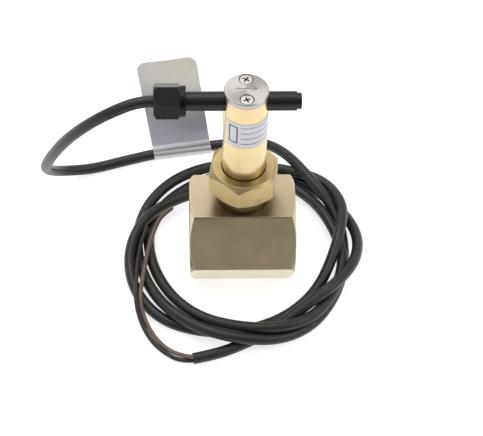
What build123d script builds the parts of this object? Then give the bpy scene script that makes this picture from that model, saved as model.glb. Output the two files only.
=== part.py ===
"""Paddle flow switch: a threaded T-piece, a sensor tube with a swinging lever, and a cabled reed contact.

Millimetres. X runs along the flow, Z points up the sensor tube, and the origin is the centre of the
flat that the T-piece stands on.
"""

import os
from math import asin, degrees, pi, radians, sqrt, tan

from build123d import *

os.makedirs("parts", exist_ok=True)

# T-piece: a length of hexagon bar lying on one flat, with a round neck on the opposite flat
bar_flats = 41.0
bar_length = 44.5
bar_edge_angle = 30.0
port_thread_radius = 13.2
port_thread_depth = 12.5
port_lead_in = 0.9
port_step = 1.0
flow_bore_radius = 10.0
neck_radius = 10.0
neck_bore_radius = 8.25
neck_thread_radius = 10.95
neck_relief_height = 7.6
neck_thread_height = 5.4
neck_edge = 0.6

# Union nut
nut_flats = 27.0
nut_turn = 7.5
nut_overlap = 5.6
nut_top_wall = 2.2
nut_bottom_edge = 0.6
nut_bottom_angle = 30.0
nut_top_angle = 18.0
nut_thread_clearance = 0.05
nut_tube_clearance = 0.3
nut_lead_in = 0.6

# Sensor tube with its flange and spigot
gasket_thickness = 1.0
gasket_clearance = 0.15
flange_thickness = 3.0
flange_clearance = 0.35
tube_radius = 9.0
tube_bore_radius = 6.7
spigot_clearance = 0.1
spigot_length = 10.0
head_height = 101.8
chamber_ceiling = 5.2

# Clamp cap and its two countersunk screws
cap_thickness = 2.5
cap_edge = 0.35
screw_pitch = 11.3
screw_hole_radius = 1.6
screw_core_radius = 1.25
screw_core_clearance = 0.05
screw_sink_radius = 2.85
screw_sink_clearance = 0.05
screw_recess = 0.2
screw_length = 9.0
screw_tip_gap = 1.0
cross_width = 0.6
cross_span = 3.0
cross_depth = 1.2
cross_turns = (20.0, 55.0)

# Lever, its pin and its paddle
pivot_below_flange = 5.0
pin_radius = 1.0
pin_running_clearance = 0.03
pin_end_gap = 0.1
hub_radius = 2.3
hub_width = 8.0
bush_side_gap = 0.2
bush_radius = 1.8
bush_wall_gap = 0.05
stem_thickness = 1.0
stem_width = 4.0
arm_width = 5.0
magnet_radius = 2.5
magnet_length = 6.0
cup_wall = 0.6
cup_floor = 1.0
cup_side_gap = 0.375
cup_top_gap = 1.5
boss_radius = 2.4
boss_height = 3.0
blade_thickness = 0.6
blade_width = 13.0
blade_rise = 11.0
blade_wall_gap = 1.6
blade_corner = 1.5
rivet_radius = 0.8
rivet_head_radius = 1.5
rivet_head_height = 0.5
rivet_edge = 3.5
rivet_pitch = 7.0
arm_end = 2.5
return_magnet_radius = 1.5
return_magnet_length = 2.0
return_magnet_offset = 4.4

# Reed contact inside its plastic rod
rod_radius = 3.95
rod_running_clearance = 0.05
rod_top_gap = 0.15
rod_right = 20.1
rod_left = -30.8
rod_wall = 1.05
plug_radius = 3.35
plug_length = 1.9
plug_spigot = 4.0
plug_edge = 0.3
glass_radius = 1.1
glass_bore_radius = 0.8
glass_length = 14.0
glass_end = 1.8
reed_wire_radius = 0.3
reed_reach = 12.0
reed_blade_width = 1.0
reed_blade_thickness = 0.2
reed_overlap = 0.9
reed_gap = 0.1
sleeve_clearance = 0.05
sleeve_length = 20.0
return_lead_radius = 0.25
return_lead_rise = 2.2
return_lead_turn = 0.6
return_lead_slot = 0.8
resin_length = 17.8

# Gland nut and its seal on the cable end of the rod
gland_flats = 13.0
gland_facet_tilt = 3.0
gland_right = -24.0
gland_length = 12.8
gland_collar_length = 2.3
gland_collar_radius = 6.35
gland_end_wall = 1.8
gland_edge = 0.3
gland_edge_angle = 40.0
gland_thread_clearance = 0.05

# Cable, its coil on the floor and its two bared conductors
cable_radius = 2.4
cable_hole_clearance = 0.05
coil_inner_radius = 34.0
coil_outer_radius = 58.0
coil_height = 5.2
coil_edge = 1.6
coil_centre = (1.0, 0.5)
wire_radius = 0.95

# Foil tag folded round the cable
tag_width = 26.5
tag_height = 57.5
tag_lean = 7.0
tag_foil = 0.4
tag_wrap = 0.35
tag_fit = 0.05
tag_corner = 2.5
tag_place = (-37.9, 59.75)
tag_heading = 9.5

# Heights and radii that follow from the sizes above
bar_axis = bar_flats / 2
neck_top = bar_flats + neck_relief_height + neck_thread_height
flange_bottom = neck_top + gasket_thickness
flange_top = flange_bottom + flange_thickness
flange_radius = neck_thread_radius - flange_clearance
spigot_radius = neck_bore_radius - spigot_clearance
pivot_height = flange_bottom - pivot_below_flange
cap_top = head_height + cap_thickness
rod_axis = head_height - rod_radius - rod_top_gap
rod_bore_radius = rod_radius - rod_wall
groove_radius = rod_radius + rod_running_clearance
chamber_top = rod_axis - groove_radius - chamber_ceiling
cup_radius = magnet_radius + cup_wall
cup_rise = chamber_top - cup_top_gap - magnet_length - cup_floor - pivot_height
lever_reach = cup_rise + cup_floor + magnet_length
rest_tilt = degrees(asin((tube_bore_radius - cup_side_gap - cup_radius) / lever_reach))

# Planes and lines that several pieces share
bar_line = Axis((0, 0, bar_axis), (1, 0, 0))
bar_side = Plane((0, 0, bar_axis), x_dir=(1, 0, 0), z_dir=(0, -1, 0))
bar_end = Plane((-bar_length / 2, 0, bar_axis), x_dir=(0, 1, 0), z_dir=(1, 0, 0))
rod_line = Axis((0, 0, rod_axis), (1, 0, 0))
rod_side = Plane((0, 0, rod_axis), x_dir=(1, 0, 0), z_dir=(0, -1, 0))
rod_cross = Plane((0, 0, rod_axis), x_dir=(0, 1, 0), z_dir=(1, 0, 0))
pin_cross = Plane((0, 0, pivot_height), x_dir=(1, 0, 0), z_dir=(0, -1, 0))
lever_top = Plane((0, 0, pivot_height)).rotated((0, rest_tilt, 0))
lever_side = Plane(lever_top.origin, x_dir=lever_top.x_dir, z_dir=-lever_top.y_dir)
lever_face = Plane(lever_top.origin, x_dir=lever_top.y_dir, z_dir=lever_top.x_dir)


def turned_outline(start, end, start_radius, end_radius, start_angle, end_angle, flats):
    """Half outline of a turned blank, as (station, radius), that bevels a hexagon's corners at both ends."""
    outer = flats / sqrt(3) + 0.5
    start_bevel = (outer - start_radius) * tan(radians(start_angle))
    end_bevel = (outer - end_radius) * tan(radians(end_angle))
    return [
        (start, 0),
        (start, start_radius),
        (start + start_bevel, outer),
        (end - end_bevel, outer),
        (end, end_radius),
        (end, 0),
    ]


def corner_radii(route):
    """Arc radius at each corner of a cord's route, as large as its two runs allow."""
    runs = [Vector(*end) - Vector(*start) for start, end in zip(route, route[1:])]
    radii = []
    for before, after in zip(runs, runs[1:]):
        half_turn = radians(before.get_angle(after) / 2)
        radii.append(0.45 * min(before.length, after.length) / tan(half_turn))
    return radii


def lay_tube(name, route, radius):
    """Tube along straight runs joined by tangent arcs."""
    radii = corner_radii(route)
    with BuildPart() as tube:
        with BuildLine() as path:
            FilletPolyline(*route, radius=radii)
        with BuildSketch(Plane(path.line @ 0, z_dir=path.line % 0)):
            Circle(radius)
        sweep(path=path.line)
    length = path.wires()[0].length
    filled = tube.part.volume / (pi * radius**2 * length)
    print(name, "radii", [round(value, 1) for value in radii])
    print(name, "length", round(length, 1), "volume over section times length", round(filled, 4))
    tube.part.label = name
    return tube


# T-piece
with BuildPart() as t_piece:
    with BuildSketch(bar_end):
        RegularPolygon(bar_flats / 2, 6, major_radius=False)
    extrude(amount=bar_length)
    with BuildSketch(bar_side):
        with BuildLine():
            Polyline(
                *turned_outline(
                    -bar_length / 2,
                    bar_length / 2,
                    bar_flats / 2,
                    bar_flats / 2,
                    bar_edge_angle,
                    bar_edge_angle,
                    bar_flats,
                ),
                close=True,
            )
        make_face()
    revolve(axis=bar_line, mode=Mode.INTERSECT)
    with BuildSketch(Plane.XY.offset(bar_axis)):
        Circle(neck_radius)
    extrude(amount=neck_top - bar_axis)
    with BuildSketch(Plane.XY.offset(neck_top)):
        Circle(neck_thread_radius)
    extrude(amount=-neck_thread_height)
    chamfer(t_piece.edges().filter_by(GeomType.CIRCLE).group_by(Axis.Z)[-1], neck_edge)
    with BuildSketch(Plane.XY.offset(bar_axis)):
        Circle(neck_bore_radius)
    extrude(amount=neck_top - bar_axis, mode=Mode.SUBTRACT)
    with BuildSketch(bar_side):
        with BuildLine():
            thread_end = bar_length / 2 - port_thread_depth
            Polyline(
                (-bar_length / 2, 0),
                (-bar_length / 2, port_thread_radius + port_lead_in),
                (-bar_length / 2 + port_lead_in, port_thread_radius),
                (-thread_end, port_thread_radius),
                (-thread_end + port_step, flow_bore_radius),
                (thread_end - port_step, flow_bore_radius),
                (thread_end, port_thread_radius),
                (bar_length / 2 - port_lead_in, port_thread_radius),
                (bar_length / 2, port_thread_radius + port_lead_in),
                (bar_length / 2, 0),
                close=True,
            )
        make_face()
    revolve(axis=bar_line, mode=Mode.SUBTRACT)
t_piece.part.label = "t_piece"
export_step(t_piece.part, "parts/t_piece.step")

# Flat seal between the neck and the sensor tube's flange
with BuildPart() as neck_gasket:
    with BuildSketch(Plane.XY.offset(neck_top)):
        Circle(flange_radius)
        Circle(neck_bore_radius + gasket_clearance, mode=Mode.SUBTRACT)
    extrude(amount=gasket_thickness)
neck_gasket.part.label = "neck_gasket"
export_step(neck_gasket.part, "parts/neck_gasket.step")

# Union nut, which turns on the neck and holds the flange down
nut_bottom = neck_top - nut_overlap
nut_top = flange_top + nut_top_wall
with BuildPart() as union_nut:
    with BuildSketch(Plane.XY.offset(nut_bottom)):
        RegularPolygon(nut_flats / 2, 6, major_radius=False, rotation=30 - nut_turn)
    extrude(amount=nut_top - nut_bottom)
    with BuildSketch(Plane.XZ):
        with BuildLine():
            outline = turned_outline(
                nut_bottom,
                nut_top,
                nut_flats / 2 - nut_bottom_edge,
                nut_flats / 2,
                nut_bottom_angle,
                nut_top_angle,
                nut_flats,
            )
            Polyline(*[(radius, height) for height, radius in outline], close=True)
        make_face()
    revolve(axis=Axis.Z, mode=Mode.INTERSECT)
    with BuildSketch(Plane.XZ):
        with BuildLine():
            nut_bore = neck_thread_radius + nut_thread_clearance
            Polyline(
                (0, nut_bottom),
                (nut_bore + nut_lead_in, nut_bottom),
                (nut_bore, nut_bottom + nut_lead_in),
                (nut_bore, flange_top),
                (tube_radius + nut_tube_clearance, flange_top),
                (tube_radius + nut_tube_clearance, nut_top),
                (0, nut_top),
                close=True,
            )
        make_face()
    revolve(axis=Axis.Z, mode=Mode.SUBTRACT)
union_nut.part.label = "union_nut"
export_step(union_nut.part, "parts/union_nut.step")

# Sensor tube: spigot, flange, closed tube and a head grooved for the rod
with BuildPart() as sensor_tube:
    with BuildSketch(Plane.XZ):
        with BuildLine():
            Polyline(
                (tube_bore_radius, flange_bottom - spigot_length),
                (spigot_radius, flange_bottom - spigot_length),
                (spigot_radius, flange_bottom),
                (flange_radius, flange_bottom),
                (flange_radius, flange_top),
                (tube_radius, flange_top),
                (tube_radius, head_height),
                (0, head_height),
                (0, chamber_top),
                (tube_bore_radius, chamber_top),
                close=True,
            )
        make_face()
    revolve(axis=Axis.Z)
    with BuildSketch(rod_cross):
        Circle(groove_radius)
        with Locations((0, tube_radius / 2)):
            Rectangle(2 * groove_radius, tube_radius)
    extrude(amount=2 * tube_radius, both=True, mode=Mode.SUBTRACT)
    screw_hole_depth = screw_length + screw_recess + screw_tip_gap - cap_thickness
    with Locations(Plane.XY.offset(head_height)):
        with GridLocations(0, screw_pitch, 1, 2):
            Hole(screw_core_radius + screw_core_clearance, depth=screw_hole_depth)
    with BuildSketch(pin_cross):
        Circle(pin_radius)
    extrude(amount=tube_radius, both=True, mode=Mode.SUBTRACT)
    with BuildSketch(Plane.XY.offset(chamber_top)):
        with Locations((-return_magnet_offset, 0)):
            Circle(return_magnet_radius)
    extrude(amount=return_magnet_length, mode=Mode.SUBTRACT)
sensor_tube.part.label = "sensor_tube"
export_step(sensor_tube.part, "parts/sensor_tube.step")

# Fixed magnet in the chamber's ceiling, which pushes the lever back
with BuildPart() as return_magnet:
    with BuildSketch(Plane.XY.offset(chamber_top)):
        with Locations((-return_magnet_offset, 0)):
            Circle(return_magnet_radius)
    extrude(amount=return_magnet_length)
return_magnet.part.label = "return_magnet"
export_step(return_magnet.part, "parts/return_magnet.step")

# Clamp cap over the rod
with BuildPart() as clamp_cap:
    with BuildSketch(Plane.XY.offset(head_height)):
        Circle(tube_radius)
    extrude(amount=cap_thickness)
    chamfer(clamp_cap.edges().group_by(Axis.Z)[-1], cap_edge)
    with Locations(Plane.XY.offset(cap_top)):
        with GridLocations(0, screw_pitch, 1, 2):
            CounterSinkHole(screw_hole_radius, screw_sink_radius, counter_sink_angle=90)
clamp_cap.part.label = "clamp_cap"
export_step(clamp_cap.part, "parts/clamp_cap.step")

# Two countersunk screws with cross recesses
screw_head_radius = screw_sink_radius - screw_recess - screw_sink_clearance
screw_top = cap_top - screw_recess
with BuildPart() as cap_screws:
    for side, turn in zip((-1, 1), cross_turns):
        place = Plane((0, side * screw_pitch / 2, screw_top))
        with BuildSketch(Plane(place.origin, x_dir=(1, 0, 0), z_dir=(0, -1, 0))):
            with BuildLine():
                Polyline(
                    (0, 0),
                    (screw_head_radius, 0),
                    (screw_core_radius, screw_core_radius - screw_head_radius),
                    (screw_core_radius, -screw_length),
                    (0, -screw_length),
                    close=True,
                )
            make_face()
        revolve(axis=Axis(place.origin, (0, 0, 1)))
        with BuildSketch(place.rotated((0, 0, turn))):
            Rectangle(cross_span, cross_width)
            Rectangle(cross_width, cross_span)
        extrude(amount=-cross_depth, mode=Mode.SUBTRACT)
cap_screws.part.label = "cap_screws"
export_step(cap_screws.part, "parts/cap_screws.step")

# Pivot pin across the spigot, and the bushes that centre the lever on it
with BuildPart() as pivot_pin:
    with BuildSketch(pin_cross):
        Circle(pin_radius)
    extrude(amount=spigot_radius - pin_end_gap, both=True)
pivot_pin.part.label = "pivot_pin"
export_step(pivot_pin.part, "parts/pivot_pin.step")

bush_start = hub_width / 2 + bush_side_gap
bush_end = sqrt(tube_bore_radius**2 - bush_radius**2) - bush_wall_gap
with BuildPart() as pin_bushes:
    for side in (-1, 1):
        with BuildSketch(pin_cross.offset(side * bush_start)):
            Circle(bush_radius)
            Circle(pin_radius, mode=Mode.SUBTRACT)
        extrude(amount=side * (bush_end - bush_start))
pin_bushes.part.label = "pin_bushes"
export_step(pin_bushes.part, "parts/pin_bushes.step")

# Lever: hub, stem up to the magnet cup and arm down to the paddle
pivot_to_flow = pivot_height - bar_axis
blade_top = blade_rise - pivot_to_flow
first_rivet = blade_top - rivet_edge
last_rivet = first_rivet - rivet_pitch
rivet_heights = (first_rivet, last_rivet)
arm_bottom = last_rivet - arm_end
with BuildPart() as paddle_lever:
    with BuildSketch(lever_side):
        Circle(hub_radius)
    extrude(amount=hub_width / 2, both=True)
    with BuildSketch(lever_side):
        with Locations((0, cup_rise / 2)):
            Rectangle(stem_thickness, cup_rise)
    extrude(amount=stem_width / 2, both=True)
    with BuildSketch(lever_face):
        with Locations((0, arm_bottom / 2)):
            RectangleRounded(arm_width, -arm_bottom, arm_width / 4)
    extrude(amount=stem_thickness / 2, both=True)
    with BuildSketch(lever_side):
        Circle(pin_radius + pin_running_clearance)
    extrude(amount=hub_width, both=True, mode=Mode.SUBTRACT)
    with BuildSketch(lever_face):
        with Locations(*[(0, height) for height in rivet_heights]):
            Circle(rivet_radius)
    extrude(amount=stem_thickness, both=True, mode=Mode.SUBTRACT)
paddle_lever.part.label = "paddle_lever"
export_step(paddle_lever.part, "parts/paddle_lever.step")

# Paddle: a thin plate that follows the round flow bore, on the upstream side of the arm
blade_face = lever_face.offset(-stem_thickness / 2)
blade_arc = flow_bore_radius - blade_wall_gap
blade_shoulder = -pivot_to_flow - sqrt(blade_arc**2 - (blade_width / 2) ** 2)
with BuildPart() as paddle_blade:
    with BuildSketch(blade_face) as blade_outline:
        with BuildLine():
            Polyline(
                (blade_width / 2, blade_shoulder),
                (blade_width / 2, blade_top),
                (-blade_width / 2, blade_top),
                (-blade_width / 2, blade_shoulder),
            )
            ThreePointArc(
                (-blade_width / 2, blade_shoulder),
                (0, -pivot_to_flow - blade_arc),
                (blade_width / 2, blade_shoulder),
            )
        make_face()
        fillet(blade_outline.vertices().group_by(Axis.Y)[-1], blade_corner)
        with Locations(*[(0, height) for height in rivet_heights]):
            Circle(rivet_radius, mode=Mode.SUBTRACT)
    extrude(amount=-blade_thickness)
paddle_blade.part.label = "paddle_blade"
export_step(paddle_blade.part, "parts/paddle_blade.step")

# Rivets through the paddle and the arm
rivet_grip = stem_thickness + blade_thickness
with BuildPart() as blade_rivets:
    for height in rivet_heights:
        with BuildSketch(blade_face.offset(-blade_thickness)):
            with Locations((0, height)):
                Circle(rivet_radius)
        extrude(amount=rivet_grip)
        for start, step in ((0, -rivet_head_height), (rivet_grip, rivet_head_height)):
            with BuildSketch(blade_face.offset(start - blade_thickness)):
                with Locations((0, height)):
                    Circle(rivet_head_radius)
            extrude(amount=step)
    chamfer(blade_rivets.edges().filter_by(GeomType.CIRCLE).sort_by(SortBy.RADIUS)[-1], rivet_head_height / 3)
blade_rivets.part.label = "blade_rivets"
export_step(blade_rivets.part, "parts/blade_rivets.step")

# Cup on the stem's upper end, and the magnet that it holds
with BuildPart() as magnet_cup:
    with BuildSketch(lever_top.offset(cup_rise)):
        Circle(cup_radius)
    extrude(amount=cup_floor + magnet_length)
    with BuildSketch(lever_top.offset(cup_rise)):
        Circle(boss_radius)
    extrude(amount=-boss_height)
    with BuildSketch(lever_top.offset(cup_rise + cup_floor)):
        Circle(magnet_radius)
    extrude(amount=magnet_length, mode=Mode.SUBTRACT)
    with BuildSketch(lever_top.offset(cup_rise)):
        Rectangle(stem_thickness, stem_width)
    extrude(amount=-boss_height, mode=Mode.SUBTRACT)
magnet_cup.part.label = "magnet_cup"
export_step(magnet_cup.part, "parts/magnet_cup.step")

with BuildPart() as lever_magnet:
    with BuildSketch(lever_top.offset(cup_rise + cup_floor)):
        Circle(magnet_radius)
    extrude(amount=magnet_length)
lever_magnet.part.label = "lever_magnet"
export_step(lever_magnet.part, "parts/lever_magnet.step")

# Plastic rod that holds the reed contact, and the plug in its far end
with BuildPart() as reed_rod:
    with BuildSketch(rod_cross.offset(rod_left)):
        Circle(rod_radius)
        Circle(rod_bore_radius, mode=Mode.SUBTRACT)
    extrude(amount=rod_right - rod_left)
reed_rod.part.label = "reed_rod"
export_step(reed_rod.part, "parts/reed_rod.step")

with BuildPart() as rod_plug:
    with BuildSketch(rod_cross.offset(rod_right)):
        Circle(plug_radius)
    extrude(amount=plug_length)
    chamfer(rod_plug.edges().group_by(Axis.X)[-1], plug_edge)
    with BuildSketch(rod_cross.offset(rod_right)):
        Circle(rod_bore_radius)
    extrude(amount=-plug_spigot)
rod_plug.part.label = "rod_plug"
export_step(rod_plug.part, "parts/rod_plug.step")

# Glass capsule with its two reeds, in a sleeve slotted for the return lead
with BuildPart() as reed_capsule:
    with BuildSketch(rod_side):
        with BuildLine():
            chamber_half = glass_length / 2 - glass_end
            Polyline(
                (-glass_length / 2, reed_wire_radius),
                (-glass_length / 2, glass_radius),
                (glass_length / 2, glass_radius),
                (glass_length / 2, reed_wire_radius),
                (chamber_half, reed_wire_radius),
                (chamber_half, glass_bore_radius),
                (-chamber_half, glass_bore_radius),
                (-chamber_half, reed_wire_radius),
                close=True,
            )
        make_face()
    revolve(axis=rod_line)
reed_capsule.part.label = "reed_capsule"
export_step(reed_capsule.part, "parts/reed_capsule.step")

with BuildPart() as reed_blades:
    for side in (-1, 1):
        with BuildSketch(rod_cross.offset(side * chamber_half)):
            Circle(reed_wire_radius)
        extrude(amount=side * (reed_reach - chamber_half))
        with BuildSketch(rod_cross.offset(side * chamber_half)):
            with Locations((0, side * (reed_gap + reed_blade_thickness) / 2)):
                Rectangle(reed_blade_width, reed_blade_thickness)
        extrude(amount=-side * (chamber_half + reed_overlap))
reed_blades.part.label = "reed_blades"
export_step(reed_blades.part, "parts/reed_blades.step")

with BuildPart() as reed_sleeve:
    with BuildSketch(rod_cross.offset(-sleeve_length / 2)):
        Circle(rod_bore_radius)
        Circle(glass_radius + sleeve_clearance, mode=Mode.SUBTRACT)
        with Locations((0, return_lead_rise - return_lead_slot / 2)):
            Rectangle(
                return_lead_slot,
                rod_bore_radius,
                align=(Align.CENTER, Align.MIN),
                mode=Mode.SUBTRACT,
            )
    extrude(amount=sleeve_length)
reed_sleeve.part.label = "reed_sleeve"
export_step(reed_sleeve.part, "parts/reed_sleeve.step")

# Lead from the far reed back along the sleeve to the resin
resin_right = -reed_reach
with BuildPart() as return_lead:
    with BuildLine() as lead_path:
        turn_station = reed_reach + return_lead_turn
        Polyline(
            (reed_reach, 0, rod_axis),
            (turn_station, 0, rod_axis),
            (turn_station, 0, rod_axis + return_lead_rise),
            (resin_right, 0, rod_axis + return_lead_rise),
        )
    with BuildSketch(Plane(lead_path.line @ 0, z_dir=lead_path.line % 0)):
        Circle(return_lead_radius)
    sweep(path=lead_path.line, transition=Transition.RIGHT)
return_lead.part.label = "return_lead"
export_step(return_lead.part, "parts/return_lead.step")

# Resin that seals the cable's end into the rod
resin_left = resin_right - resin_length
with BuildPart() as sealing_resin:
    with BuildSketch(rod_cross.offset(resin_left)):
        Circle(rod_bore_radius)
    extrude(amount=resin_length)
sealing_resin.part.label = "sealing_resin"
export_step(sealing_resin.part, "parts/sealing_resin.step")

# Gland nut: a hexagon with a round collar, screwed over the rod's end
gland_left = gland_right - gland_length
gland_hex_right = gland_right - gland_collar_length
cable_hole_radius = cable_radius + cable_hole_clearance
with BuildPart() as gland_nut:
    with BuildSketch(rod_cross.offset(gland_left)):
        RegularPolygon(gland_flats / 2, 6, major_radius=False, rotation=30 - gland_facet_tilt)
    extrude(amount=gland_hex_right - gland_left)
    with BuildSketch(rod_side):
        with BuildLine():
            Polyline(
                *turned_outline(
                    gland_left,
                    gland_hex_right,
                    gland_flats / 2 - gland_edge,
                    gland_flats / 2,
                    gland_edge_angle,
                    gland_edge_angle,
                    gland_flats,
                ),
                close=True,
            )
        make_face()
    revolve(axis=rod_line, mode=Mode.INTERSECT)
    with BuildSketch(rod_cross.offset(gland_hex_right)):
        Circle(gland_collar_radius)
    extrude(amount=gland_collar_length)
    with BuildSketch(rod_cross.offset(gland_right)):
        Circle(rod_radius + gland_thread_clearance)
    extrude(amount=gland_end_wall - gland_length, mode=Mode.SUBTRACT)
    with BuildSketch(rod_cross.offset(gland_left)):
        Circle(cable_hole_radius)
    extrude(amount=gland_length, mode=Mode.SUBTRACT)
gland_nut.part.label = "gland_nut"
export_step(gland_nut.part, "parts/gland_nut.step")

with BuildPart() as gland_seal:
    with BuildSketch(rod_cross.offset(gland_left + gland_end_wall)):
        Circle(rod_radius)
        Circle(cable_hole_radius, mode=Mode.SUBTRACT)
    extrude(amount=rod_left - gland_left - gland_end_wall)
gland_seal.part.label = "gland_seal"
export_step(gland_seal.part, "parts/gland_seal.step")

# Cable from the gland down to the floor and behind the T-piece to the coil
lead_route = [
    (resin_left, 0, rod_axis),
    (-43.2, 0, rod_axis),
    (-57.6, -1.6, 90.6),
    (-70.4, 3.9, 75.1),
    (-79.8, 12.9, 55),
    (-86, 23.7, 34.1),
    (-86, 36.8, 17.5),
    (-75.8, 44.9, 5.2),
    (-60.4, 53.5, cable_radius),
    (-38.5, 59.6, cable_radius),
    (-11, 64.6, cable_radius),
    (8.5, 64.6, cable_radius),
    (22.6, 54.2, cable_radius),
]
cable_lead = lay_tube("cable_lead", lead_route, cable_radius)
export_step(cable_lead.part, "parts/cable_lead.step")

# Outer shape of the loose coil round the T-piece
with BuildPart() as cable_coil:
    with BuildSketch(Plane(coil_centre, x_dir=(1, 0, 0), z_dir=(0, -1, 0))) as coil_section:
        with Locations(((coil_inner_radius + coil_outer_radius) / 2, coil_height / 2)):
            Rectangle(coil_outer_radius - coil_inner_radius, coil_height)
        chamfer(coil_section.vertices().group_by(Axis.Y)[-1], coil_edge)
    revolve(axis=Axis((*coil_centre, 0), (0, 0, 1)))
cable_coil.part.label = "cable_coil"
export_step(cable_coil.part, "parts/cable_coil.step")

# Short tail of the cable outside the coil, where its jacket ends
tail_end = (-21.3, -56.2, cable_radius)
tail_route = [(-4, -50.8, cable_radius), (-12.5, -54.2, cable_radius), tail_end]
cable_tail = lay_tube("cable_tail", tail_route, cable_radius)
export_step(cable_tail.part, "parts/cable_tail.step")

# Bared conductors, laid back over the coil
wire_top = coil_height + wire_radius + 0.3
brown_route = [
    (tail_end[0] + 0.5, tail_end[1], cable_radius + 1.15),
    (-31, -56.3, 4.6),
    (-40, -46.5, 6.3),
    (-44, -30, wire_top),
    (-43.7, -12, wire_top),
    (-39.6, 7.6, wire_top),
    (-30.6, 26.3, wire_top),
]
wire_brown = lay_tube("wire_brown", brown_route, wire_radius)
export_step(wire_brown.part, "parts/wire_brown.step")

black_route = [
    (tail_end[0] + 0.5, tail_end[1], cable_radius - 1.15),
    (-32, -58.5, 2.2),
    (-42.3, -48.6, 5.2),
    (-46.6, -33, wire_top),
    (-47, -15, wire_top),
    (-44.3, 2, wire_top),
    (-39.5, 18, wire_top),
]
wire_black = lay_tube("wire_black", black_route, wire_radius)
export_step(wire_black.part, "parts/wire_black.step")

# Foil tag: a band round the cable and a flag standing up from it
tag_base = Plane((*tag_place, cable_radius)).rotated((0, 0, tag_heading))
tag_side = Plane(tag_base.origin, x_dir=tag_base.x_dir, z_dir=-tag_base.y_dir)
tag_section = Plane(tag_base.origin, x_dir=tag_base.y_dir, z_dir=tag_base.x_dir)
lean_shift = -tag_height * tan(radians(tag_lean))
with BuildPart() as cable_tag:
    with BuildSketch(tag_side) as flag_outline:
        with BuildLine():
            Polyline(
                (0, cable_radius),
                (tag_width, cable_radius),
                (tag_width + lean_shift, tag_height),
                (lean_shift, tag_height),
                close=True,
            )
        make_face()
        fillet(flag_outline.vertices().group_by(Axis.Y)[-1], tag_corner)
    extrude(amount=tag_foil / 2, both=True)
    with BuildSketch(tag_section):
        Circle(cable_radius + tag_fit + tag_wrap)
    extrude(amount=tag_width)
    with BuildSketch(tag_section):
        Circle(cable_radius + tag_fit)
    extrude(amount=tag_width, mode=Mode.SUBTRACT)
cable_tag.part.label = "cable_tag"
export_step(cable_tag.part, "parts/cable_tag.step")
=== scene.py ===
from math import cos, pi, radians, sin, sqrt

import bmesh
import bpy
from mathutils import Matrix, Vector


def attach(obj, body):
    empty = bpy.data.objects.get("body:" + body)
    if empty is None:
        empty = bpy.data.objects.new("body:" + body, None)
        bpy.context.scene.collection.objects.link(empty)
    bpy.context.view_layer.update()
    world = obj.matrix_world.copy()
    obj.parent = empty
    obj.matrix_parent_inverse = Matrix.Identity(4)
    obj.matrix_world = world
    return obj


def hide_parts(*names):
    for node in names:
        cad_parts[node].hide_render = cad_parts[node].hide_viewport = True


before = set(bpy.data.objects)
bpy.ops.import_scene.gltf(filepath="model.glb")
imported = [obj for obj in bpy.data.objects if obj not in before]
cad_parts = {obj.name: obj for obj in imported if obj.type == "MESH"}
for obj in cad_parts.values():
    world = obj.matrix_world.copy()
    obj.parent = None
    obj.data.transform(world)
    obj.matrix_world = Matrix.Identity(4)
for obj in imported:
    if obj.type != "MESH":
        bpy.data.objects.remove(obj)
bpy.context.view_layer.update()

MM = 0.001
scene = bpy.context.scene
scene.view_settings.view_transform = "Standard"

# Camera at the photograph's viewing angle
FOCAL_PIXELS = 1743.96
IMAGE_WIDTH = 483
SENSOR_WIDTH = 36.0
CAMERA_PLACE = Vector((-29.2117, -484.3809, 591.4646)) * MM
CAMERA_FORWARD = Vector((0.03909626, 0.65039496, -0.7585894))
CAMERA_ROLL = radians(2.21)

camera_data = bpy.data.cameras.new("camera")
camera_data.sensor_fit = "HORIZONTAL"
camera_data.sensor_width = SENSOR_WIDTH
camera_data.lens = FOCAL_PIXELS / IMAGE_WIDTH * SENSOR_WIDTH
camera_data.clip_start = 0.05
camera_data.clip_end = 20.0
camera = bpy.data.objects.new("camera", camera_data)
scene.collection.objects.link(camera)
level_right = CAMERA_FORWARD.cross(Vector((0, 0, 1))).normalized()
level_up = level_right.cross(CAMERA_FORWARD)
right = level_right * cos(CAMERA_ROLL) + level_up * sin(CAMERA_ROLL)
up = level_up * cos(CAMERA_ROLL) - level_right * sin(CAMERA_ROLL)
turn = Matrix((right, up, -CAMERA_FORWARD)).transposed()
camera.matrix_world = Matrix.Translation(CAMERA_PLACE) @ turn.to_4x4()
scene.camera = camera


def link(name, data):
    piece = bpy.data.objects.new(name, data)
    scene.collection.objects.link(piece)
    return piece


# Cords: the cable as one spline from the gland through the coil to its cut end, and two bared conductors
CABLE_RADIUS = 2.4
WIRE_RADIUS = 0.95
LEAD_ROUTE = (
    (-36.8, 0, 97.7),
    (-42.5, 0, 97.7),
    (-54, -1, 92.5),
    (-64, 1, 83),
    (-72.6, 6, 69.5),
    (-79.0, 13.3, 53.5),
    (-83.2, 22.3, 37.5),
    (-84.9, 31.8, 23.5),
    (-82.4, 40.6, 12.3),
    (-75.8, 47.0, 5.4),
    (-65.5, 50.8, 2.4),
    (-52, 55.3, 2.4),
    (-38, 59.7, 2.4),
    (-24, 62.8, 2.4),
    (-8, 65.2, 2.6),
    (10.5, 65.8, 4.4),
    (22.0, 54.0, 9.4),
)
TAIL_ROUTE = ((-4, -50.8, 2.4), (-12.5, -54.2, 2.4), (-21.3, -56.2, 2.4))
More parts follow.
